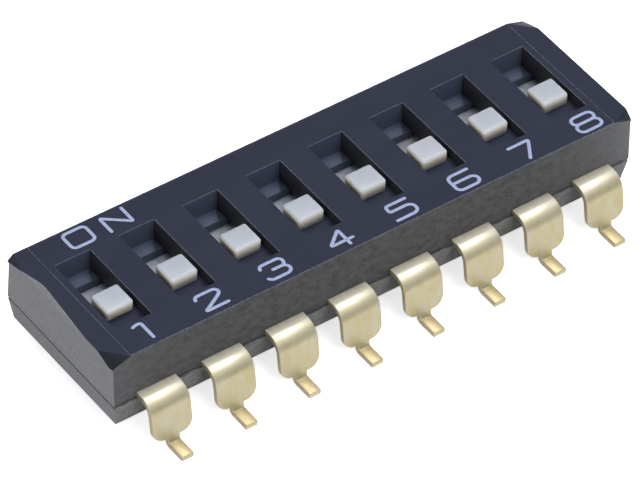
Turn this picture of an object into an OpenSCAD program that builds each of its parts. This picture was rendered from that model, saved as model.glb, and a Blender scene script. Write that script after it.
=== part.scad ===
// Eight-position slide dip switch with gull-wing leads.
// X runs along the row of positions, +Y towards the ON side, Z up from the board plane.

/* [Layout] */
// Number of switch positions
positions = 8; // [2:1:10]
// Distance between neighbouring positions
pitch = 2.54; // [2.4:0.01:3]
// Height of the cover's top above the board
top_height = 3.67; // [3.6:0.01:4]
// Height of the seam between cover and base above the board
seam_height = 1.75; // [1.6:0.01:1.8]
// Height of the base's underside above the board
standoff = 0.78; // [0.4:0.01:0.9]

/* [Cover] */
// Width of the cover's top face
cover_top_width = 6; // [5.9:0.02:6.4]
// How far each long side leans out between the top and the seam
side_draft = 0.1; // [0:0.01:0.2]
// Length from the outer window centre to the cover's end face
end_margin = 1.65; // [1.5:0.01:2.2]
// How far the top lip stands out from the end face
lip_reach = 0.07; // [0.02:0.01:0.2]
// Height of the top lip
lip_height = 0.3; // [0.1:0.02:0.5]
// Size of a slanted corner along the cover
corner_along = 0.77; // [0.3:0.01:0.9]
// Size of a slanted corner across the cover
corner_across = 0.8; // [0.3:0.01:0.95]
// Drop of a slanted corner
corner_drop = 0.28; // [0.05:0.01:0.4]
// Size across the cover of the short corner, by the last number
short_corner_across = 0.35; // [0.2:0.01:0.8]

/* [Windows] */
// Window size along the row
window_along = 1.385; // [1.2:0.005:1.6]
// Window size across the row
window_across = 3.53; // [3.2:0.01:3.7]
// Thickness of the two shelves at the window's ends
shelf_thickness = 0.33; // [0.2:0.01:0.36]
// Depth of the ledge on the number side, below the cover's top
near_ledge_depth = 0.45; // [0.35:0.01:0.55]
// Slot between the shelves: its edge on the number side
slot_near = -0.51; // [-0.7:0.01:-0.45]
// Slot between the shelves: its edge on the ON side
slot_far = 1.24; // [1.15:0.01:1.3]

/* [Slider] */
// Travel of a slider from OFF to ON
travel = 1.08; // [0.8:0.01:1.1]
// Knob size along the row
knob_along = 1.04; // [0.8:0.01:1.15]
// Knob size across the row
knob_across = 0.97; // [0.7:0.01:1.1]
// How far the knob stands above the cover
knob_proud = 0.08; // [0:0.01:0.3]
// Room between the stem and the slot's end at OFF
stem_gap = 0.05; // [0.03:0.01:0.1]
// Slider plate size along the row
plate_along = 1.96; // [1.6:0.01:2]
// Thickness of the slider plate
plate_thickness = 0.28; // [0.2:0.01:0.3]
// Reach of the slider plate beyond the slot, at each end of the travel
plate_cover = 0.2; // [0.1:0.01:0.3]
// Running clearance between a slider and the cover
slide_gap = 0.04; // [0.02:0.01:0.06]

/* [Wiper] */
// Room for the wiper between the contacts and the slider plate
wiper_room = 0.21; // [0.16:0.01:0.3]
// Wiper width along the row
wiper_along = 0.8; // [0.5:0.05:0.95]
// Wiper sheet thickness
wiper_thickness = 0.07; // [0.05:0.01:0.08]
// Distance between the wiper's two contact points
wiper_span = 0.9; // [0.8:0.05:0.95]
// Radius of the slider's two rivets through the wiper
rivet_radius = 0.1; // [0.05:0.01:0.13]

/* [Terminals] */
// Terminal sheet thickness
sheet = 0.2; // [0.15:0.01:0.22]
// Width of the terminal's shoulder
shoulder_width = 1.56; // [1.3:0.02:1.7]
// Width of the inner contact tongue
tongue_width = 1; // [0.6:0.05:1.1]
// Width of the solder foot
foot_width = 0.48; // [0.3:0.02:0.6]
// Gap between the front and back contacts under a slider
contact_gap = 0.5; // [0.4:0.05:0.6]
// Distance from the body's side to the start of the straight foot
lead_reach = 1.12; // [1:0.01:1.6]
// Bend radius at the shoulder, at the middle of the sheet
shoulder_bend = 0.5; // [0.3:0.02:0.54]
// Bend radius at the foot, at the middle of the sheet
foot_bend = 0.15; // [0.12:0.01:0.2]
// Lean of the terminal's plate away from the body, in degrees
plate_lean = 10; // [0:1:16]
// Straight length of the foot
foot_length = 0.72; // [0.5:0.02:1]
// Height above the board where the wide plate ends
plate_end = 0.4; // [0.38:0.01:0.7]
// Corner radius at the wide plate's end
plate_round = 0.44; // [0.1:0.02:0.5]

/* [Base] */
// How far the base's underside is set in at each end
base_end_taper = 0.15; // [0:0.01:0.3]
// How far the base's underside is set in at each long side
base_side_taper = 0.13; // [0:0.01:0.3]
// Height of the groove under the seam
groove_height = 0.07; // [0.04:0.01:0.12]
// Depth of the groove under the seam
groove_depth = 0.06; // [0.03:0.01:0.1]
// Thickness of the cover's skirt at the seam
skirt = 0.52; // [0.4:0.01:0.6]
// Clearance between fixed pieces
fit_gap = 0.02; // [0.01:0.005:0.03]

/* [Hidden] */
$fn = 48;
eps = 0.01;
cover_length = (positions - 1) * pitch + 2 * end_margin;
cover_base_width = cover_top_width + 2 * side_draft;
contact_top = seam_height + sheet;
plug_length = cover_length - 2 * (skirt + fit_gap);
plug_width = cover_base_width - 2 * (skirt + fit_gap);
plate_under = contact_top + wiper_room;
plate_top = plate_under + plate_thickness;
shelf_under = plate_top + slide_gap;
shelf_top = shelf_under + shelf_thickness;
knob_top = top_height + knob_proud;
near_ledge = top_height - near_ledge_depth;
knob_under = near_ledge + slide_gap;
knob_near = -(knob_across + travel) / 2;
stem_near = slot_near + stem_gap;
stem_far = knob_near + knob_across;
plate_near = slot_near - travel - plate_cover;
plate_far = slot_far + plate_cover;
pocket_near = plate_near - slide_gap;
pocket_far = plate_far + travel + slide_gap;
pocket_along = plate_along + 2 * slide_gap;
wiper_mid = -travel;
wiper_low = contact_top + fit_gap;
foot_start = cover_base_width / 2 + lead_reach;
foot_tip = foot_start + foot_length;
foot_mid = sheet / 2;
sheet_mid = seam_height + sheet / 2;

function position_x(k) = (k - (positions + 1) / 2) * pitch;

// Points along an arc about a centre in the plane across the row.
function arc(centre, radius, from, to, steps = 8) =
    [for (i = [0:steps]) let (a = from + (to - from) * i / steps)
        centre + radius * [cos(a), sin(a)]];

// Both edges of a bent sheet, from its middle line's bend centres.
function sheet_edge(side) =
    let (
        outer = shoulder_bend + side * sheet / 2,
        inner = foot_bend - side * sheet / 2,
        foot_centre = [-foot_start, foot_mid + foot_bend],
        rise = sheet_mid - shoulder_bend - foot_centre[1],
        turn = [cos(180 - plate_lean), sin(180 - plate_lean)],
        reach = (rise + (shoulder_bend + foot_bend) * turn[1]) / cos(plate_lean),
        along = [-sin(plate_lean), -cos(plate_lean)],
        shoulder_centre = foot_centre - (shoulder_bend + foot_bend) * turn - reach * along
    )
    concat(
        [[-plug_width / 2, sheet_mid + side * sheet / 2]],
        arc(shoulder_centre, outer, 90, 180 - plate_lean),
        arc(foot_centre, inner, -plate_lean, -90),
        [[-foot_tip, foot_mid + side * sheet / 2]]
    );

function reversed(points) = [for (i = [len(points) - 1:-1:0]) points[i]];

// Solid cut from a profile across the row, pushed along the row.
module along_row(length) {
    translate([-length / 2, 0, 0])
        rotate([90, 0, 90])
            linear_extrude(length)
                children();
}

// Solid cut from a front outline, pushed across the row.
module across_row(from, to) {
    translate([0, to, 0])
        rotate([90, 0, 0])
            linear_extrude(to - from)
                children();
}

module block(x0, x1, y0, y1, z0, z1) {
    translate([x0, y0, z0])
        cube([x1 - x0, y1 - y0, z1 - z0]);
}

// Wedge that slants one corner of the cover's top.
module corner_wedge(along, across, drop) {
    half_long = cover_length / 2 + lip_reach;
    half_wide = cover_top_width / 2;
    polyhedron(
        [
            [half_long - along, half_wide, top_height],
            [half_long, half_wide - across, top_height],
            [half_long, half_wide, top_height - drop],
            [half_long + along, half_wide + across, top_height + drop]
        ],
        [[0, 1, 2], [0, 3, 1], [1, 3, 2], [2, 3, 0]]
    );
}

module cover_blank() {
    half_top = cover_top_width / 2;
    half_seam = cover_base_width / 2;
    half_end = cover_length / 2;
    intersection() {
        along_row(cover_length + 2 * lip_reach)
            polygon([
                [-half_seam, seam_height], [half_seam, seam_height],
                [half_top, top_height], [-half_top, top_height]
            ]);
        across_row(-half_seam, half_seam)
            polygon([
                [-half_end, seam_height], [half_end, seam_height],
                [half_end, top_height - lip_height], [half_end + lip_reach, top_height - lip_height + lip_reach],
                [half_end + lip_reach, top_height], [-half_end - lip_reach, top_height],
                [-half_end - lip_reach, top_height - lip_height + lip_reach], [-half_end, top_height - lip_height]
            ]);
    }
}

module cover() {
    notch = shoulder_width / 2 + fit_gap;
    color([0.04, 0.045, 0.06])
        difference() {
            cover_blank();
            corner_wedge(corner_along, corner_across, corner_drop);
            mirror([0, 1, 0])
                corner_wedge(corner_along, short_corner_across, corner_drop);
            rotate([0, 0, 180])
                corner_wedge(corner_along, corner_across, corner_drop);
            block(
                -plug_length / 2 - fit_gap, plug_length / 2 + fit_gap,
                -plug_width / 2 - fit_gap, plug_width / 2 + fit_gap,
                seam_height - eps, contact_top + fit_gap
            );
            for (k = [1:positions])
                translate([position_x(k), 0, 0]) {
                    block(
                        -window_along / 2, window_along / 2, -window_across / 2, window_across / 2,
                        near_ledge, top_height + eps
                    );
                    block(
                        -window_along / 2, window_along / 2, slot_near, window_across / 2,
                        shelf_top, top_height + eps
                    );
                    block(
                        -pocket_along / 2, pocket_along / 2, slot_near, slot_far,
                        seam_height, shelf_top
                    );
                    block(
                        -pocket_along / 2, pocket_along / 2, pocket_near, pocket_far,
                        seam_height, shelf_under
                    );
                    block(
                        -notch, notch, -cover_base_width, cover_base_width,
                        seam_height - eps, contact_top + fit_gap
                    );
                }
        }
}

module base() {
    half_long = cover_length / 2;
    half_wide = cover_base_width / 2;
    rim = seam_height - groove_height;
    tongue = tongue_width / 2 + fit_gap;
    shoulder = shoulder_width / 2 + fit_gap;
    color([0.06, 0.06, 0.065])
        difference() {
            union() {
                intersection() {
                    along_row(cover_length)
                        polygon([
                            [-half_wide, rim], [half_wide, rim],
                            [half_wide - base_side_taper, standoff], [-half_wide + base_side_taper, standoff]
                        ]);
                    across_row(-half_wide, half_wide)
                        polygon([
                            [-half_long, rim], [half_long, rim],
                            [half_long - base_end_taper, standoff], [-half_long + base_end_taper, standoff]
                        ]);
                }
                block(
                    groove_depth - half_long, half_long - groove_depth,
                    groove_depth - half_wide, half_wide - groove_depth,
                    rim - eps, seam_height
                );
                block(
                    -plug_length / 2, plug_length / 2, -plug_width / 2, plug_width / 2,
                    seam_height - eps, contact_top
                );
            }
            for (k = [1:positions], side = [0, 1])
                translate([position_x(k), 0, 0])
                    mirror([0, side, 0])
                        block(
                            -tongue, tongue, -plug_width, -contact_gap / 2 + fit_gap,
                            seam_height, contact_top + eps
                        );
        }
}

// One slider in its OFF place, about its own position.
module slider(k) {
    color([0.9, 0.9, 0.88])
        translate([position_x(k), 0, 0]) {
            block(
                -knob_along / 2, knob_along / 2, knob_near, knob_near + knob_across,
                knob_under, knob_top
            );
            block(
                -knob_along / 2, knob_along / 2, stem_near, stem_far,
                plate_under, knob_under + eps
            );
            block(
                -plate_along / 2, plate_along / 2, plate_near, plate_far,
                plate_under, plate_top
            );
            for (side = [-1, 1])
                translate([side * wiper_along / 4, wiper_mid, plate_under - wiper_thickness])
                    cylinder(r = rivet_radius, h = wiper_thickness + eps);
        }
}

// One wiper: a flat middle on the slider and two sprung legs that reach the contacts.
module wiper(k) {
    flat = wiper_span / 5;
    toe = wiper_span / 8;
    low = wiper_low + wiper_thickness;
    high = plate_under;
    top_line = [
        [-wiper_span / 2 - toe, low + wiper_thickness / 2], [-wiper_span / 2, low],
        [-flat, high], [flat, high],
        [wiper_span / 2, low], [wiper_span / 2 + toe, low + wiper_thickness / 2]
    ];
    under_line = [for (p = top_line) p - [0, wiper_thickness]];
    color([0.83, 0.69, 0.32])
        translate([position_x(k), wiper_mid, 0])
            difference() {
                along_row(wiper_along)
                    polygon(concat(top_line, reversed(under_line)));
                for (side = [-1, 1])
                    translate([side * wiper_along / 4, 0, wiper_low])
                        cylinder(r = rivet_radius + fit_gap, h = plate_top - wiper_low);
            }
}

// Front outline of a terminal: wide plate with round lower corners, and the narrow foot.
module terminal_outline() {
    half = shoulder_width / 2;
    translate([-half, plate_end + plate_round])
        square([shoulder_width, contact_top - plate_end]);
    translate([-half + plate_round, plate_end])
        square([shoulder_width - 2 * plate_round, plate_round + eps]);
    for (side = [-1, 1])
        translate([side * (half - plate_round), plate_end + plate_round])
            circle(plate_round);
    translate([-foot_width / 2, -eps])
        square([foot_width, plate_end + 2 * eps]);
}

// One front terminal, about its own position.
module terminal() {
    color([0.85, 0.74, 0.42]) {
        intersection() {
            along_row(shoulder_width)
                polygon(concat(sheet_edge(1), reversed(sheet_edge(-1))));
            across_row(-2 * foot_tip, 0)
                terminal_outline();
        }
        block(
            -tongue_width / 2, tongue_width / 2, -plug_width / 2 - eps, -contact_gap / 2,
            seam_height, contact_top
        );
    }
}

module front_terminal(k) {
    translate([position_x(k), 0, 0])
        terminal();
}

module back_terminal(k) {
    translate([position_x(k), 0, 0])
        mirror([0, 1, 0])
            terminal();
}

cover();
base();
for (k = [1:positions]) {
    slider(k);
    wiper(k);
    front_terminal(k);
    back_terminal(k);
}
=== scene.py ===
import bpy
import math
from mathutils import Matrix, Vector


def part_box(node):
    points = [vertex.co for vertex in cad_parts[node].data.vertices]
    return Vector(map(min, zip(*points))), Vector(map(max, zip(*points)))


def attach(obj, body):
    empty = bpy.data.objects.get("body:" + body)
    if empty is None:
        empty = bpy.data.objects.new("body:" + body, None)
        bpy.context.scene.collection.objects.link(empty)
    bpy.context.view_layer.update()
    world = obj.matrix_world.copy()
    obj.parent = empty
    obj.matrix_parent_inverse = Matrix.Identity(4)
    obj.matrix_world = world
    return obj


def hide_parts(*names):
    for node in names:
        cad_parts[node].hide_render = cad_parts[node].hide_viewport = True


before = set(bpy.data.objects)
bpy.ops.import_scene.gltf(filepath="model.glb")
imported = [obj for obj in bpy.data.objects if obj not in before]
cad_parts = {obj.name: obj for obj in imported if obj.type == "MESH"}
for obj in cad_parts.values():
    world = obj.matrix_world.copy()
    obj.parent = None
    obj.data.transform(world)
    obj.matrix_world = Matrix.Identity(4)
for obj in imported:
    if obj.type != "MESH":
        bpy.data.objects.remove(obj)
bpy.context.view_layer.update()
mm = 0.001
print("frame loaded:", len(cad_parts), "nodes")

positionCount = sum(1 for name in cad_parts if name.startswith("slider_"))
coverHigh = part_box("cover")[1]
topZ = coverHigh.z
levelSlack = 0.001 * mm
topCorners = [v.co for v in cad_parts["cover"].data.vertices if v.co.z > topZ - levelSlack]
topEdge = Vector((max(co.x for co in topCorners), max(co.y for co in topCorners)))


def clearSelection():
    if bpy.context.object and bpy.context.object.mode != "OBJECT":
        bpy.ops.object.mode_set(mode="OBJECT")
    bpy.ops.object.select_all(action="DESELECT")


def pick(piece):
    clearSelection()
    piece.select_set(True)
    bpy.context.view_layer.objects.active = piece


def centreOf(nodeName):
    low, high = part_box(nodeName)
    return (low + high) / 2


# how the copies of CAD nodes are merged, rounded and smoothed, with angles in degrees
rounding = {
    "mergeDistance": 0.0005 * mm,
    "flatAngle": 1.0,
    "edgeAngle": 25.0,
    "edgeSegments": 2,
    "softSegments": 5,
    "smoothAngle": 40.0,
    "faceWeight": 90,
}


# a merged copy of a CAD node, with its hard edges rounded, and more so above softAbove
def roundedCopy(
        nodeName, pieceName, edgeWidth, minAngle=rounding["edgeAngle"], softAbove=None, softWidth=0.0):
    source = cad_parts[nodeName]
    piece = bpy.data.objects.new(pieceName, source.data.copy())
    bpy.context.scene.collection.objects.link(piece)
    piece.data.materials.clear()
    pick(piece)
    bpy.ops.object.mode_set(mode="EDIT")
    bpy.ops.mesh.select_all(action="SELECT")
    bpy.ops.mesh.remove_doubles(threshold=rounding["mergeDistance"])
    bpy.ops.mesh.dissolve_limited(angle_limit=math.radians(rounding["flatAngle"]))
    if softAbove is not None:
        bpy.ops.mesh.select_all(action="DESELECT")
        bpy.ops.object.mode_set(mode="OBJECT")
        spots = [vertex.co.z for vertex in piece.data.vertices]
        for edge in piece.data.edges:
            edge.select = max(spots[index] for index in edge.vertices) > softAbove
        bpy.ops.object.mode_set(mode="EDIT")
        bpy.ops.mesh.select_mode(type="EDGE")
        bpy.ops.mesh.bevel(offset=softWidth, segments=rounding["softSegments"], clamp_overlap=False)
    bpy.ops.object.mode_set(mode="OBJECT")
    bevel = piece.modifiers.new("edges", "BEVEL")
    bevel.width = edgeWidth
    bevel.segments = rounding["edgeSegments"]
    bevel.limit_method = "ANGLE"
    bevel.angle_limit = math.radians(minAngle)
    bevel.use_clamp_overlap = True
    bpy.ops.object.modifier_apply(modifier=bevel.name)
    return piece


# smooth over the rounded edges, with the large faces kept flat
def smoothFaces(piece):
    pick(piece)
    bpy.ops.object.shade_smooth_by_angle(angle=math.radians(rounding["smoothAngle"]))
    weighted = piece.modifiers.new("flatFaces", "WEIGHTED_NORMAL")
    weighted.weight = rounding["faceWeight"]
    weighted.keep_sharp = True
    bpy.ops.object.modifier_apply(modifier=weighted.name)


def newMaterial(name):
    material = bpy.data.materials.new(name)
    material.use_nodes = True
    nodes = material.node_tree.nodes
    return material, nodes, material.node_tree.links, nodes["Principled BSDF"]


def objectNoise(nodes, links, scale, detail=4.0, roughness=0.55, stretch=(1, 1, 1)):
    coords = nodes.new("ShaderNodeTexCoord")
    mapping = nodes.new("ShaderNodeMapping")
    mapping.inputs["Scale"].default_value = stretch
    noise = nodes.new("ShaderNodeTexNoise")
    noise.inputs["Scale"].default_value = scale
    noise.inputs["Detail"].default_value = detail
    noise.inputs["Roughness"].default_value = roughness
    links.new(coords.outputs["Object"], mapping.inputs["Vector"])
    links.new(mapping.outputs["Vector"], noise.inputs["Vector"])
    return noise.outputs["Fac"]


# where a point is on the piece and which way its face points, each as X, Y and Z sockets
def placeAndFacing(nodes, links):
    coords = nodes.new("ShaderNodeTexCoord")
    place = nodes.new("ShaderNodeSeparateXYZ")
    links.new(coords.outputs["Object"], place.inputs["Vector"])
    geometry = nodes.new("ShaderNodeNewGeometry")
    facing = nodes.new("ShaderNodeSeparateXYZ")
    links.new(geometry.outputs["Normal"], facing.inputs["Vector"])
    return place.outputs, facing.outputs


def ramp(nodes, links, source, stops):
    node = nodes.new("ShaderNodeValToRGB")
    elements = node.color_ramp.elements
    while len(elements) < len(stops):
        elements.new(0.5)
    for element, (place, colour) in zip(elements, stops):
        element.position = place
        element.color = (*colour, 1.0)
    links.new(source, node.inputs["Fac"])
    return node.outputs["Color"]


# one tone that a noise makes darker and lighter
def mottled(nodes, links, source, tone, factors, span=(0.30, 0.70)):
    stops = [(place, tuple(c * factor for c in tone)) for place, factor in zip(span, factors)]
    return ramp(nodes, links, source, stops)


def mapRange(nodes, links, source, low, high):
    node = nodes.new("ShaderNodeMapRange")
    node.inputs["To Min"].default_value = low
    node.inputs["To Max"].default_value = high
    links.new(source, node.inputs["Value"])
    return node.outputs["Result"]


# one step of arithmetic, from sockets or plain numbers
def compute(nodes, links, operation, *values):
    node = nodes.new("ShaderNodeMath")
    node.operation = operation
    for slot, value in enumerate(values):
        if isinstance(value, (int, float)):
            node.inputs[slot].default_value = value
        else:
            links.new(value, node.inputs[slot])
    return node.outputs["Value"]


def clamped(nodes, links, value, low, high):
    return compute(nodes, links, "MINIMUM", compute(nodes, links, "MAXIMUM", value, low), high)


def blend(nodes, links, mask, first, second, dataType="RGBA"):
    node = nodes.new("ShaderNodeMix")
    node.data_type = dataType
    low, high, out = {"FLOAT": (2, 3, 0), "VECTOR": (4, 5, 1), "RGBA": (6, 7, 2)}[dataType]
    links.new(mask, node.inputs[0])
    for slot, value in ((low, first), (high, second)):
        if isinstance(value, tuple):
            node.inputs[slot].default_value = (*value, 1.0)
        elif isinstance(value, (int, float)):
            node.inputs[slot].default_value = value
        else:
            links.new(value, node.inputs[slot])
    return node.outputs[out]


def bumpFrom(nodes, links, source, strength, distance):
    node = nodes.new("ShaderNodeBump")
    node.inputs["Strength"].default_value = strength
    node.inputs["Distance"].default_value = distance
    links.new(source, node.inputs["Height"])
    return node.outputs["Normal"]


# camera, solved from the straight edges of the case
camera = {
    "aim": (-1.692 * mm, -2.059 * mm),   # where the middle of the frame meets the cover's top
    "distance": 181.13 * mm,
    "azimuth": -37.81,
    "elevation": 44.05,
    "roll": 2.75,
    "focal": 311.15,                     # mm, as is the sensor
    "sensor": 36.0,
    "clipStart": 0.01,
    "clipEnd": 10.0,
}


def makeCamera(settings):
    data = bpy.data.cameras.new("camera")
    data.sensor_width = settings["sensor"]
    data.lens = settings["focal"]
    data.clip_start = settings["clipStart"]
    data.clip_end = settings["clipEnd"]
    holder = bpy.data.objects.new("camera", data)
    bpy.context.scene.collection.objects.link(holder)
    azimuth = math.radians(settings["azimuth"])
    elevation = math.radians(settings["elevation"])
    back = Vector((
        math.sin(azimuth) * math.cos(elevation),
        -math.cos(azimuth) * math.cos(elevation),
        math.sin(elevation),
    ))
    turned = (-back).to_track_quat("-Z", "Y")
    level = turned.to_matrix().to_4x4() @ Matrix.Rotation(math.radians(settings["roll"]), 4, "Z")
    aim = Vector((*settings["aim"], topZ))
    holder.matrix_world = Matrix.Translation(aim + back * settings["distance"]) @ level
    bpy.context.scene.camera = holder


makeCamera(camera)
print("camera placed")


# case: smooth navy top and windows, matte grain on the outer sides
case = {
    "edge": 0.03 * mm,
    "topColour": (0.0190, 0.0216, 0.0384),
    "topRoughness": 0.42,
    "specular": 0.15,
    "wearAndHighlightColour": (0.20, 0.22, 0.27),
    "windowLightColour": (0.048, 0.057, 0.089),
    "nearLedgeLightColour": (0.027, 0.031, 0.051),
    "wallShadeColour": (0.026, 0.026, 0.031),
    "seamAndShadeColour": (0.012, 0.013, 0.018),
    "frontColour": (0.057, 0.056, 0.054),
    # painted light: the end faces are paler than the long sides
    "endLitColour": (0.176, 0.174, 0.178),
    "sideRoughness": 0.75,
    "mouldLine": 9.845 * mm,             # fine lines left by the mould, across the top
    "mouldLineWidth": 0.022 * mm,
    "topHalfWidth": 3.00 * mm,
    "edgeHighlightWidth": 0.040 * mm,
    "windowHalfAlong": 0.6925 * mm,
    "windowHalfAcross": 1.765 * mm,
    "rimHighlightWidth": 0.032 * mm,
    "seamHeight": 1.75 * mm,
    "flashHeight": 1.90 * mm,            # a faint moulding line above the seam, on the ends
    "cutAlong": 0.22 * mm,               # slanted cut at the corner by the word
    "cutAcross": 0.85 * mm,
    "cutDrop": 0.40 * mm,
    "lapStart": -1.50 * mm,              # grained strip that laps over the edge of the end with 1
    "lapPeak": 1.25 * mm,
    "lapEnd": 2.20 * mm,
    "lapDepth": 0.25 * mm,
    "lapBlend": 0.6,
    "grainScale": 14000,
    "cloudScale": 900,
    "smearScale": 3600,
    "speckScale": 9000,
    "speckShare": 0.47,
    "smearFactors": (0.70, 1.28),
    "endFactors": (0.84, 1.16),
    "topFactors": (0.93, 1.07),
    "endSheenFalloff": 6.0,                      # how fast the long sides grow paler towards the ends
    "endSheenLeft": 0.22,
    "endSheenRight": 0.52,
    "smudgeReach": (-0.20 * mm, 0.34 * mm),
    "smudgeStrength": 0.55,
    "flashHalfWidth": 0.016 * mm,
    "flashStrength": 0.5,
    "levelFacing": 0.97,                 # shares of the normal that make a face level, slanted or upright
    "slantFacing": 0.30,
    "uprightFacing": 0.1,
    "endFacing": 0.7,
    "wallFacing": 0.6,
    "lineWear": (0.12, 0.40),
    "edgeHighlightShare": (0.10, 0.40),
    "rimHighlightShare": (0.10, 0.30),
    "bevelHighlightShare": (0.1, 1.0),
    "brimDepth": 0.05 * mm,              # heights below the top
    "skinDepth": 0.02 * mm,
    "nearLedgeDepth": 0.45 * mm,
    "nearLedgeSlack": 0.1 * mm,
    "lowLedgeDepth": 0.6 * mm,
    "edgeZone": 0.30 * mm,
    "otherCornerShade": 0.3,
    "sideRoughnessSpread": 0.1,
    "topRoughnessSpread": 0.04,
    "sideBump": (0.55, 0.012 * mm),
    "topBump": (0.06, 0.006 * mm),
    "baseFrontShade": 2.8,
    "baseEndShade": 0.90,
}


def caseMaterial(name, settings, frontShade=1.0, endShade=1.0, sidesOnly=False):
    material, nodes, links, shader = newMaterial(name)
    place, facing = placeAndFacing(nodes, links)

    def step(operation, *values):
        return compute(nodes, links, operation, *values)

    def spread(source, limits):
        return mapRange(nodes, links, source, *limits)

    def mixed(mask, first, second, dataType="RGBA"):
        return blend(nodes, links, mask, first, second, dataType)

    grain = objectNoise(nodes, links, settings["grainScale"], detail=5.0)
    smear = objectNoise(
        nodes, links, settings["smearScale"], detail=7.0, roughness=0.75, stretch=(0.7, 1, 1.1))
    speckNoise = objectNoise(nodes, links, settings["speckScale"], detail=3.0)
    speck = step("GREATER_THAN", speckNoise, settings["speckShare"])
    along = step("ABSOLUTE", place["X"])
    sideways = step("ABSOLUTE", facing["X"])
    below = step("SUBTRACT", topZ, place["Z"])
    atBrim = step("LESS_THAN", below, settings["brimDepth"])

    # long sides are smeared, and painted light makes them lighter near the ends, more at the right end;
    # the end faces are pale and even with painted light
    frontTone = tuple(c * frontShade for c in settings["frontColour"])
    smeared = mottled(nodes, links, smear, frontTone, settings["smearFactors"], span=(0.36, 0.64))
    nearEndSheen = step("POWER", step("DIVIDE", along, coverHigh.x), settings["endSheenFalloff"])
    rightHalf = step("GREATER_THAN", place["X"], 0.0)
    sheenShare = spread(rightHalf, (settings["endSheenLeft"], settings["endSheenRight"]))
    front = mixed(step("MULTIPLY", nearEndSheen, sheenShare), smeared, settings["endLitColour"])
    # dark smudges gather along the seam
    offSeam = step("ABSOLUTE", step("SUBTRACT", place["Z"], settings["seamHeight"]))
    smudge = step("LESS_THAN", offSeam, spread(smear, settings["smudgeReach"]))
    front = mixed(step("MULTIPLY", smudge, settings["smudgeStrength"]), front, settings["seamAndShadeColour"])
    endLitTone = tuple(c * endShade for c in settings["endLitColour"])
    end = mottled(nodes, links, grain, endLitTone, settings["endFactors"])
    offFlash = step("ABSOLUTE", step("SUBTRACT", place["Z"], settings["flashHeight"]))
    flash = step("MULTIPLY", step("LESS_THAN", offFlash, settings["flashHalfWidth"]), speck)
    end = mixed(step("MULTIPLY", flash, settings["flashStrength"]), end, settings["frontColour"])
    inset = step("ADD", place["X"], topEdge.x)
    lapRise = settings["lapPeak"] - settings["lapStart"]
    lapFall = settings["lapEnd"] - settings["lapPeak"]
    rise = step("DIVIDE", step("SUBTRACT", place["Y"], settings["lapStart"]), lapRise)
    fall = step("DIVIDE", step("SUBTRACT", settings["lapEnd"], place["Y"]), lapFall)
    lapEdge = step("MULTIPLY", step("SMOOTH_MIN", rise, fall, settings["lapBlend"]), settings["lapDepth"])
    lap = step("MULTIPLY", step("LESS_THAN", inset, lapEdge), atBrim)
    endFace = step("GREATER_THAN", sideways, settings["endFacing"])
    side = mixed(step("MAXIMUM", lap, endFace), front, end)
    rough, vary = settings["sideRoughness"], settings["sideRoughnessSpread"]
    sideRough = spread(grain, (rough - vary, rough + vary))
    sideBump = bumpFrom(nodes, links, grain, *settings["sideBump"])
    shader.inputs["Specular IOR Level"].default_value = settings["specular"]
    if sidesOnly:
        links.new(side, shader.inputs["Base Color"])
        links.new(sideRough, shader.inputs["Roughness"])
        links.new(sideBump, shader.inputs["Normal"])
        return material

    # top: even navy, with pale wear along the mould lines and painted highlights at its edges
    pitch = centreOf("slider_2").x - centreOf("slider_1").x
    cloud = objectNoise(nodes, links, settings["cloudScale"], detail=3.0, stretch=(0.35, 1, 1))
    across = step("ABSOLUTE", place["Y"])
    up = facing["Z"]
    level = step("GREATER_THAN", up, settings["levelFacing"])
    navy = mottled(nodes, links, cloud, settings["topColour"], settings["topFactors"])
    offLine = step("ABSOLUTE", step("SUBTRACT", along, settings["mouldLine"]))
    onLine = step("LESS_THAN", offLine, settings["mouldLineWidth"] / 2)
    line = step("MULTIPLY", step("MULTIPLY", onLine, level), spread(speck, settings["lineWear"]))
    tilted = step("LESS_THAN", up, settings["levelFacing"])
    slanted = step("MULTIPLY", tilted, step("GREATER_THAN", up, settings["slantFacing"]))
    middle = step("LESS_THAN", along, settings["mouldLine"])
    bevelHighlight = step("MULTIPLY", slanted, spread(smear, settings["bevelHighlightShare"]))
    wearAndHighlight = step("MAXIMUM", line, step("MULTIPLY", bevelHighlight, step("MULTIPLY", middle, atBrim)))
    # painted highlights: pale specks along the long edges, and pale rims on two sides of each window
    flatTop = step("MULTIPLY", level, step("LESS_THAN", below, settings["skinDepth"]))
    alongEdge = step("GREATER_THAN", across, settings["topHalfWidth"] - settings["edgeHighlightWidth"])
    edgeHighlights = step("MULTIPLY", step("MULTIPLY", alongEdge, middle), spread(speck, settings["edgeHighlightShare"]))
    cell = step("FLOORED_MODULO", step("ADD", place["X"], positionCount / 2 * pitch), pitch)
    local = step("SUBTRACT", cell, pitch / 2)
    pastEnd = step("SUBTRACT", local, settings["windowHalfAlong"])
    pastFar = step("SUBTRACT", place["Y"], settings["windowHalfAcross"])
    halfRim = settings["rimHighlightWidth"] / 2
    besideWindow = step("LESS_THAN", across, settings["windowHalfAcross"])
    beyondWindow = step("LESS_THAN", step("ABSOLUTE", local), settings["windowHalfAlong"])
    endRim = step("MULTIPLY", step("COMPARE", pastEnd, halfRim, halfRim), besideWindow)
    farRim = step("MULTIPLY", step("COMPARE", pastFar, halfRim, halfRim), beyondWindow)
    rimHighlights = step("MULTIPLY", step("MAXIMUM", endRim, farRim), middle)
    rimHighlights = step("MULTIPLY", rimHighlights, spread(speck, settings["rimHighlightShare"]))
    wearAndHighlight = step("MAXIMUM", wearAndHighlight, step("MULTIPLY", flatTop, step("MAXIMUM", edgeHighlights, rimHighlights)))
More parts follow.
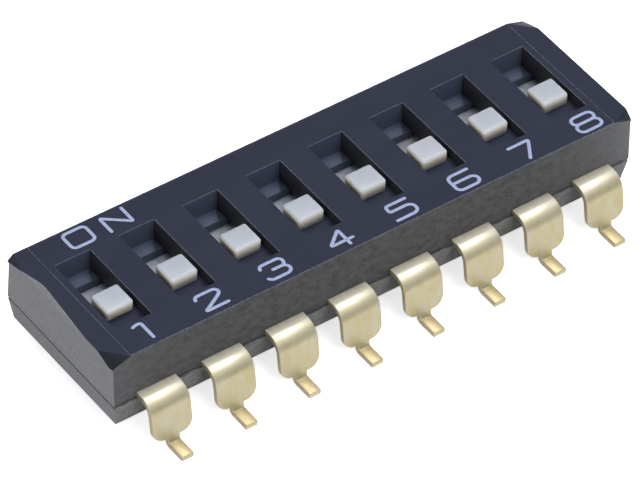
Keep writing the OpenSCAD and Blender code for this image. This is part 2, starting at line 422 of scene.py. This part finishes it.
    # inside the windows, the far walls and the low ledges get painted light, paler than the top
    towardsFront = step("LESS_THAN", facing["Y"], -settings["wallFacing"])
    lowLedge = step("MULTIPLY", level, step("GREATER_THAN", below, settings["lowLedgeDepth"]))
    underSkin = step("GREATER_THAN", below, settings["skinDepth"])
    inside = step("MULTIPLY", step("MAXIMUM", towardsFront, lowLedge), underSkin)
    navy = mixed(inside, navy, settings["windowLightColour"])
    # painted light on the near ledge, paler than the top
    ledgeHeight = step("COMPARE", below, settings["nearLedgeDepth"], settings["nearLedgeSlack"])
    navy = mixed(step("MULTIPLY", level, ledgeHeight), navy, settings["nearLedgeLightColour"])
    # painted shade on the window walls that face the left end of the case
    shadedWall = step("MULTIPLY", step("LESS_THAN", facing["X"], -settings["wallFacing"]), middle)
    navy = mixed(shadedWall, navy, settings["wallShadeColour"])
    # painted shade on the slanted corners, darkest at the corner by the number 1
    beyond = step("GREATER_THAN", along, settings["mouldLine"])
    others = step("MAXIMUM", rightHalf, step("GREATER_THAN", place["Y"], 0.0))
    shade = spread(others, (1.0, settings["otherCornerShade"]))
    corner = step("MULTIPLY", step("MULTIPLY", slanted, beyond), shade)
    shaded = mixed(corner, navy, settings["seamAndShadeColour"])
    top = mixed(wearAndHighlight, shaded, settings["wearAndHighlightColour"])

    # outer faces are the ones that stand upright at the edge of the case
    atEnd = step("GREATER_THAN", along, coverHigh.x - settings["edgeZone"])
    atSide = step("GREATER_THAN", across, coverHigh.y - settings["edgeZone"])
    upright = step("LESS_THAN", up, settings["uprightFacing"])
    outer = step("MAXIMUM", step("MULTIPLY", step("MAXIMUM", atEnd, atSide), upright), lap)
    rough, vary = settings["topRoughness"], settings["topRoughnessSpread"]
    topRough = spread(cloud, (rough - vary, rough + vary))
    topBump = bumpFrom(nodes, links, grain, *settings["topBump"])
    links.new(mixed(outer, top, side), shader.inputs["Base Color"])
    links.new(mixed(outer, topRough, sideRough, "FLOAT"), shader.inputs["Roughness"])
    links.new(mixed(outer, topBump, sideBump, "VECTOR"), shader.inputs["Normal"])
    return material


# the small slanted cut at the corner by the word
def cutCorner(piece, settings):
    start = Vector((-topEdge.x, topEdge.y - settings["cutAcross"], topZ))
    finish = Vector((-topEdge.x + settings["cutAlong"], topEdge.y, topZ))
    foot = Vector((-topEdge.x, topEdge.y, topZ - settings["cutDrop"]))
    outward = (finish - start).cross(foot - start).normalized()
    if outward.z < 0:
        outward.negate()
    pick(piece)
    bpy.ops.object.mode_set(mode="EDIT")
    bpy.ops.mesh.select_all(action="SELECT")
    bpy.ops.mesh.bisect(plane_co=start, plane_no=outward, use_fill=True, clear_outer=True)
    bpy.ops.mesh.mark_sharp()
    bpy.ops.object.mode_set(mode="OBJECT")


cover = roundedCopy("cover", "caseCover", case["edge"])
cutCorner(cover, case)
smoothFaces(cover)
cover.data.materials.append(caseMaterial("satinNavy", case))
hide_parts("cover")
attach(cover, "housing")

base = roundedCopy("base", "caseBase", case["edge"])
smoothFaces(base)
base.data.materials.append(caseMaterial(
    "mouldedCharcoal", case,
    frontShade=case["baseFrontShade"], endShade=case["baseEndShade"], sidesOnly=True))
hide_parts("base")
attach(base, "housing")
print("case dressed")


# sliders
slider = {
    "edge": 0.03 * mm,
    "knobEdge": 0.10 * mm,
    "knobDepth": 0.38 * mm,
    "shadeDepth": 0.54 * mm,
    "shadeFade": 0.44 * mm,
    "colour": (0.425, 0.437, 0.470),
    "warmSideLight": (0.58, 0.54, 0.46),
    "footShadeColour": (0.10, 0.09, 0.08),
    "cloudScale": 1400,
    "cloudFactors": (0.96, 1.0),
    "grainScale": 16000,
    "bump": (0.12, 0.006 * mm),
    "levelPower": 0.6,
    "roughness": 0.42,
    "roughnessSpread": 0.05,
    "depthOfGlow": 0.70 * mm,
    "glowColour": (1.0, 0.94, 0.84),
}


def sliderMaterial(settings):
    material, nodes, links, shader = newMaterial("whiteNylon")
    place, facing = placeAndFacing(nodes, links)
    cloud = objectNoise(nodes, links, settings["cloudScale"], detail=3.0)
    colour = mottled(nodes, links, cloud, settings["colour"], settings["cloudFactors"])
    # painted light: faces that look up keep the cool top colour, the upright sides take the warm side
    # light
    litFromAbove = compute(nodes, links, "MAXIMUM", facing["Z"], 0.0)
    litFromAbove = compute(nodes, links, "POWER", litFromAbove, settings["levelPower"])
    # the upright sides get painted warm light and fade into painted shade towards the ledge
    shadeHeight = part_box("slider_1")[1].z - settings["shadeDepth"]
    raised = compute(nodes, links, "SUBTRACT", place["Z"], shadeHeight)
    unshaded = compute(nodes, links, "DIVIDE", raised, settings["shadeFade"])
    unshaded = clamped(nodes, links, unshaded, 0.0, 1.0)
    upright = blend(nodes, links, unshaded, settings["footShadeColour"], settings["warmSideLight"])
    links.new(blend(nodes, links, litFromAbove, upright, colour), shader.inputs["Base Color"])
    rough, vary = settings["roughness"], settings["roughnessSpread"]
    links.new(mapRange(nodes, links, cloud, rough - vary, rough + vary), shader.inputs["Roughness"])
    grain = objectNoise(nodes, links, settings["grainScale"])
    links.new(bumpFrom(nodes, links, grain, *settings["bump"]), shader.inputs["Normal"])
    shader.inputs["Subsurface Weight"].default_value = 1.0
    shader.inputs["Subsurface Radius"].default_value = settings["glowColour"]
    shader.inputs["Subsurface Scale"].default_value = settings["depthOfGlow"]
    return material


whiteNylon = sliderMaterial(slider)
for number in range(1, positionCount + 1):
    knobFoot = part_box(f"slider_{number}")[1].z - slider["knobDepth"]
    piece = roundedCopy(
        f"slider_{number}", f"slider{number}", slider["edge"],
        softAbove=knobFoot, softWidth=slider["knobEdge"])
    smoothFaces(piece)
    piece.data.materials.append(whiteNylon)
    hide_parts(f"slider_{number}")
    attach(piece, f"switch_{number}")
print("sliders dressed:", positionCount)


# terminals and wipers
metal = {
    "edge": 0.035 * mm,
    "edgeAngle": 35.0,
    "paleGold": (0.46, 0.41, 0.28),
    "deepGold": (0.445, 0.373, 0.195),
    "shoulderLitTone": (0.84, 0.77, 0.61),
    "footLitTone": (0.46, 0.37, 0.20),
    "rootShadeTone": (0.45, 0.40, 0.29),
    "edgeTone": (0.30, 0.25, 0.15),      # sheared edges of the sheet
    "goldSpan": (0.36, 0.64),            # how much noise turns deep gold into pale gold
    "edgeFacing": 0.7,
    "rootEnd": 3.42 * mm,
    "rootFade": 0.30 * mm,
    "rootShadeMost": 0.8,
    "shoulderHeight": 1.0 * mm,
    "levelPower": 7.0,
    "streakScale": 1800,
    "cloudScale": 2600,
    "metallic": 0.60,
    "coat": 0.12,
    "coatRoughness": 0.32,
    "roughness": 0.41,
    "roughnessSpread": (-0.08, 0.12),
    "bump": (0.10, 0.008 * mm),
}


def goldMaterial(name, settings):
    material, nodes, links, shader = newMaterial(name)
    place, facing = placeAndFacing(nodes, links)
    streak = objectNoise(nodes, links, settings["streakScale"], detail=5.0, stretch=(3.0, 1, 0.4))
    cloud = objectNoise(nodes, links, settings["cloudScale"], detail=3.0, stretch=(1.4, 1, 0.6))
    golds = (settings["deepGold"], settings["paleGold"])
    colour = ramp(nodes, links, cloud, list(zip(settings["goldSpan"], golds)))
    # painted light: the level parts are brighter, silvery on the shoulder and warm on the foot
    high = compute(nodes, links, "GREATER_THAN", place["Z"], settings["shoulderHeight"])
    level = blend(nodes, links, high, settings["footLitTone"], settings["shoulderLitTone"])
    litFromAbove = compute(nodes, links, "MAXIMUM", facing["Z"], 0.0)
    litFromAbove = compute(nodes, links, "POWER", litFromAbove, settings["levelPower"])
    colour = blend(nodes, links, litFromAbove, colour, level)
    # painted shade where each lead leaves the case
    outward = compute(nodes, links, "ABSOLUTE", place["Y"])
    inward = compute(nodes, links, "SUBTRACT", settings["rootEnd"], outward)
    root = compute(nodes, links, "DIVIDE", inward, settings["rootFade"])
    root = compute(nodes, links, "MULTIPLY", root, streak)
    rootShade = clamped(nodes, links, root, 0.0, settings["rootShadeMost"])
    colour = blend(nodes, links, rootShade, colour, settings["rootShadeTone"])
    sideways = compute(nodes, links, "ABSOLUTE", facing["X"])
    sheared = compute(nodes, links, "GREATER_THAN", sideways, settings["edgeFacing"])
    links.new(blend(nodes, links, sheared, colour, settings["edgeTone"]), shader.inputs["Base Color"])
    shader.inputs["Metallic"].default_value = settings["metallic"]
    shader.inputs["Coat Weight"].default_value = settings["coat"]
    shader.inputs["Coat Roughness"].default_value = settings["coatRoughness"]
    smoothest, roughest = (settings["roughness"] + vary for vary in settings["roughnessSpread"])
    links.new(mapRange(nodes, links, streak, smoothest, roughest), shader.inputs["Roughness"])
    links.new(bumpFrom(nodes, links, streak, *settings["bump"]), shader.inputs["Normal"])
    return material


gold = goldMaterial("goldPlate", metal)
for number in range(1, positionCount + 1):
    for row in ("front", "back"):
        piece = roundedCopy(
            f"{row}_terminal_{number}", f"{row}Terminal{number}", metal["edge"], metal["edgeAngle"])
        smoothFaces(piece)
        piece.data.materials.append(gold)
        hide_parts(f"{row}_terminal_{number}")
        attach(piece, "housing")
    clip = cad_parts[f"wiper_{number}"]
    clip.data.materials.clear()
    clip.data.materials.append(gold)
print("terminals dressed:", 2 * positionCount)


# printed marks: strokes with round ends, laid on the top of the cover
marks = {
    "width": 0.90 * mm,       # between stroke middles
    "height": 0.745 * mm,
    "stroke": 0.126 * mm,
    "corner": 0.24,           # size of a rounded corner, in half glyph boxes
    "cornerSteps": 6,
    "capAngles": (30, 55, 75, 88),
    "roundSteps": 3,
    "thickness": 0.012 * mm,
    "numberY": -2.365 * mm,
    "numberSlope": -0.006,    # the row of numbers is printed a little askew
    "numberShift": 0.13 * mm,
    "numberSpread": 1.006,
    "wordY": 2.444 * mm,
    "wordX": (-8.175 * mm, -6.68 * mm),
    "colour": (0.325, 0.370, 0.535),
    "cloudScale": 9000,
    "cloudFactors": (0.80, 1.0),
    "roughness": (0.5, 0.7),
}

# each glyph is a list of strokes in a box from -1 to 1, and a stroke that ends where it starts is closed
glyphs = {
    "1": [[(-0.58, 0.88), (-0.32, 1.0), (0.14, 1.0), (0.14, -1.0)]],
    "2": [[
        (-0.98, 0.60), (-0.92, 0.85), (-0.70, 0.98), (0.70, 0.98), (0.98, 0.75), (0.98, 0.42),
        (0.75, 0.15), (-0.98, -1.0), (1.0, -1.0),
    ]],
    "3": [
        [
            (-0.97, 0.62), (-0.92, 0.85), (-0.70, 1.0), (0.72, 1.0), (0.98, 0.75), (0.98, 0.30),
            (0.72, 0.05),
        ],
        [
            (-0.15, 0.05), (0.72, 0.05), (1.03, -0.22), (1.03, -0.72), (0.72, -1.0), (-0.75, -1.0),
            (-0.98, -0.70),
        ],
    ],
    "4": [[(0.45, -1.0), (0.45, 0.98), (-0.98, -0.45), (0.98, -0.45)]],
    "5": [[
        (0.85, 1.0), (-0.92, 1.0), (-0.97, 0.2), (0.72, 0.2), (1.03, -0.1), (1.03, -0.70), (0.72, -1.0),
        (-0.95, -1.0),
    ]],
    "6": [[
        (0.85, 1.0), (-0.75, 1.0), (-1.03, 0.72), (-1.03, -0.72), (-0.75, -1.0), (0.72, -1.0),
        (1.03, -0.72), (1.03, -0.22), (0.72, 0.05), (-1.0, 0.05),
    ]],
    "7": [[(-0.98, 1.0), (0.9, 1.0), (-0.15, -1.0)]],
    "8": [
        [
            (-0.72, 0.05), (-0.98, 0.30), (-0.98, 0.76), (-0.70, 1.02), (0.70, 1.02), (0.98, 0.76),
            (0.98, 0.30), (0.72, 0.05), (-0.72, 0.05),
        ],
        [
            (-0.72, 0.05), (-1.04, -0.22), (-1.04, -0.76), (-0.74, -1.03), (0.74, -1.03), (1.04, -0.76),
            (1.04, -0.22), (0.72, 0.05),
        ],
    ],
    "O": [[
        (-0.76, 1.0), (0.76, 1.0), (1.0, 0.76), (1.0, -0.76), (0.76, -1.0), (-0.76, -1.0),
        (-1.0, -0.76), (-1.0, 0.76), (-0.76, 1.0),
    ]],
    "N": [[(-1.0, -1.0), (-1.0, 0.95), (0.97, -0.95), (0.97, 1.0)]],
}


def markMaterial(settings):
    material, nodes, links, shader = newMaterial("paleInk")
    cloud = objectNoise(nodes, links, settings["cloudScale"], detail=4.0)
    colour = mottled(nodes, links, cloud, settings["colour"], settings["cloudFactors"], span=(0.32, 0.60))
    links.new(colour, shader.inputs["Base Color"])
    links.new(mapRange(nodes, links, cloud, *settings["roughness"]), shader.inputs["Roughness"])
    return material


# a stroke with its corners turned into short curves
def softened(stroke, size, steps):
    if stroke[0] == stroke[-1]:
        middle = ((stroke[0][0] + stroke[1][0]) / 2, (stroke[0][1] + stroke[1][1]) / 2)
        stroke = [middle] + stroke[1:] + [middle]
    points = [Vector(p) for p in stroke]
    soft = [points[0]]
    for before, corner, after in zip(points, points[1:], points[2:]):
        start = corner + (before - corner).normalized() * min(size, (before - corner).length / 2)
        finish = corner + (after - corner).normalized() * min(size, (after - corner).length / 2)
        for step in range(steps + 1):
            t = step / steps
            soft.append(start * (1 - t) ** 2 + corner * 2 * t * (1 - t) + finish * t ** 2)
    return soft + [points[-1]]


# the same stroke in metres, with extra points that narrow to a round end
def strokePoints(stroke, settings):
    radius = settings["stroke"] / 2
    size = Vector((settings["width"] / 2, settings["height"] / 2))
    soft = softened(stroke, settings["corner"], settings["cornerSteps"])
    line = [(point * size, 1.0) for point in soft]
    if stroke[0] == stroke[-1]:
        return line

    def cap(end, inside):
        outward = (end - inside).normalized() * radius
        turns = [math.radians(angle) for angle in settings["capAngles"]]
        return [(end + outward * math.sin(turn), math.cos(turn)) for turn in turns]

    head = cap(line[0][0], line[1][0])
    tail = cap(line[-1][0], line[-2][0])
    return head[::-1] + line + tail


def printMark(symbol, pieceName, centre, settings, material):
    curve = bpy.data.curves.new(pieceName, "CURVE")
    curve.dimensions = "3D"
    curve.bevel_depth = settings["stroke"] / 2
    curve.bevel_resolution = settings["roundSteps"]
    curve.use_fill_caps = True
    for stroke in glyphs[symbol]:
        spline = curve.splines.new("POLY")
        line = strokePoints(stroke, settings)
        spline.points.add(len(line) - 1)
        for point, (spot, narrowing) in zip(spline.points, line):
            point.co = (spot.x, spot.y, 0, 1)
            point.radius = narrowing
    piece = bpy.data.objects.new(pieceName, curve)
    bpy.context.scene.collection.objects.link(piece)
    pick(piece)
    bpy.ops.object.convert(target="MESH")
    piece = bpy.context.object
    flat = settings["thickness"] / settings["stroke"]
    piece.data.transform(Matrix.Translation((*centre, topZ)) @ Matrix.Diagonal((1, 1, flat, 1)))
    piece.data.materials.clear()
    piece.data.materials.append(material)
    bpy.ops.object.shade_smooth()
    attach(piece, "housing")


paleInk = markMaterial(marks)
for number in range(1, positionCount + 1):
    x = centreOf(f"slider_{number}").x * marks["numberSpread"] + marks["numberShift"]
    spot = (x, marks["numberY"] + marks["numberSlope"] * x)
    printMark(str(number), f"number{number}", spot, marks, paleInk)
for letter, x in zip("ON", marks["wordX"]):
    printMark(letter, f"letter{letter}", (x, marks["wordY"]), marks, paleInk)
print("marks printed")


# stage and light
stage = {
    "floorSize": 3.0,
    "floorColour": (0.90, 0.90, 0.90),
    "floorGlow": 0.41,        # as metal reflects it
    "floorPale": 0.68,        # as the camera sees it
    "floorRoughness": 0.9,
    "worldColour": (0.90, 0.94, 1.0),
    "worldStrength": 0.55,
    "horizonStrength": 0.08,  # the room as shiny surfaces reflect it
    "zenithStrength": 0.60,
}


def makeStage(settings):
    clearSelection()
    bpy.ops.mesh.primitive_plane_add(size=settings["floorSize"], location=(0, 0, 0))
    floor = bpy.context.object
    floor.name = "floor"
    material, nodes, links, shader = newMaterial("paleFloor")
    shader.inputs["Base Color"].default_value = (*settings["floorColour"], 1)
    shader.inputs["Roughness"].default_value = settings["floorRoughness"]
    shader.inputs["Emission Color"].default_value = (1, 1, 1, 1)
    seen = nodes.new("ShaderNodeLightPath")
    pale = compute(nodes, links, "MULTIPLY", seen.outputs["Is Camera Ray"], settings["floorPale"])
    glow = compute(nodes, links, "MULTIPLY", seen.outputs["Is Glossy Ray"], settings["floorGlow"])
    links.new(compute(nodes, links, "MAXIMUM", pale, glow), shader.inputs["Emission Strength"])
    floor.data.materials.append(material)
    world = bpy.data.worlds.new("studio")
    bpy.context.scene.world = world
    world.use_nodes = True
    background = world.node_tree.nodes["Background"]
    background.inputs["Color"].default_value = (*settings["worldColour"], 1)
    nodes, links = world.node_tree.nodes, world.node_tree.links
    coords = nodes.new("ShaderNodeTexCoord")
    direction = nodes.new("ShaderNodeSeparateXYZ")
    links.new(coords.outputs["Generated"], direction.inputs["Vector"])
    height = direction.outputs["Z"]
    room = clamped(nodes, links, height, settings["horizonStrength"], settings["zenithStrength"])
    ray = nodes.new("ShaderNodeLightPath")
    strength = blend(nodes, links, ray.outputs["Is Glossy Ray"], settings["worldStrength"], room, "FLOAT")
    links.new(strength, background.inputs["Strength"])


# square lamps that face the origin
# the front one gives no highlights, and the highlight gives nothing else
lamps = {
    "frontSoftbox": {
        "place": (0.05, -0.40, 0.48), "size": 0.40, "power": 2.4,
        "colour": (0.93, 0.96, 1.0), "unseenBy": "glossy",
    },
    "highlight": {
        "place": (0.21, 0.12, 0.59), "size": 0.24, "power": 1.25,
        "colour": (0.96, 0.98, 1.0), "unseenBy": "diffuse",
    },
    "overheadSoftbox": {
        "place": (0.10, -0.05, 0.60), "size": 0.45, "power": 1.3,
        "colour": (0.92, 0.96, 1.0), "unseenBy": None,
    },
    "leftFill": {
        "place": (-0.55, -0.10, 0.16), "size": 0.30, "power": 0.9,
        "colour": (1.0, 0.99, 0.97), "unseenBy": None,
    },
}


def makeLamp(name, settings):
    data = bpy.data.lights.new(name, "AREA")
    data.shape = "SQUARE"
    data.size = settings["size"]
    data.energy = settings["power"]
    data.color = settings["colour"]
    lamp = bpy.data.objects.new(name, data)
    bpy.context.scene.collection.objects.link(lamp)
    spot = Vector(settings["place"])
    lamp.matrix_world = Matrix.Translation(spot) @ spot.to_track_quat("Z", "Y").to_matrix().to_4x4()
    lamp.visible_glossy = settings["unseenBy"] != "glossy"
    lamp.visible_diffuse = settings["unseenBy"] != "diffuse"


makeStage(stage)
for lampName, lampSettings in lamps.items():
    makeLamp(lampName, lampSettings)
bpy.context.scene.view_settings.view_transform = "Standard"
print("stage lit")
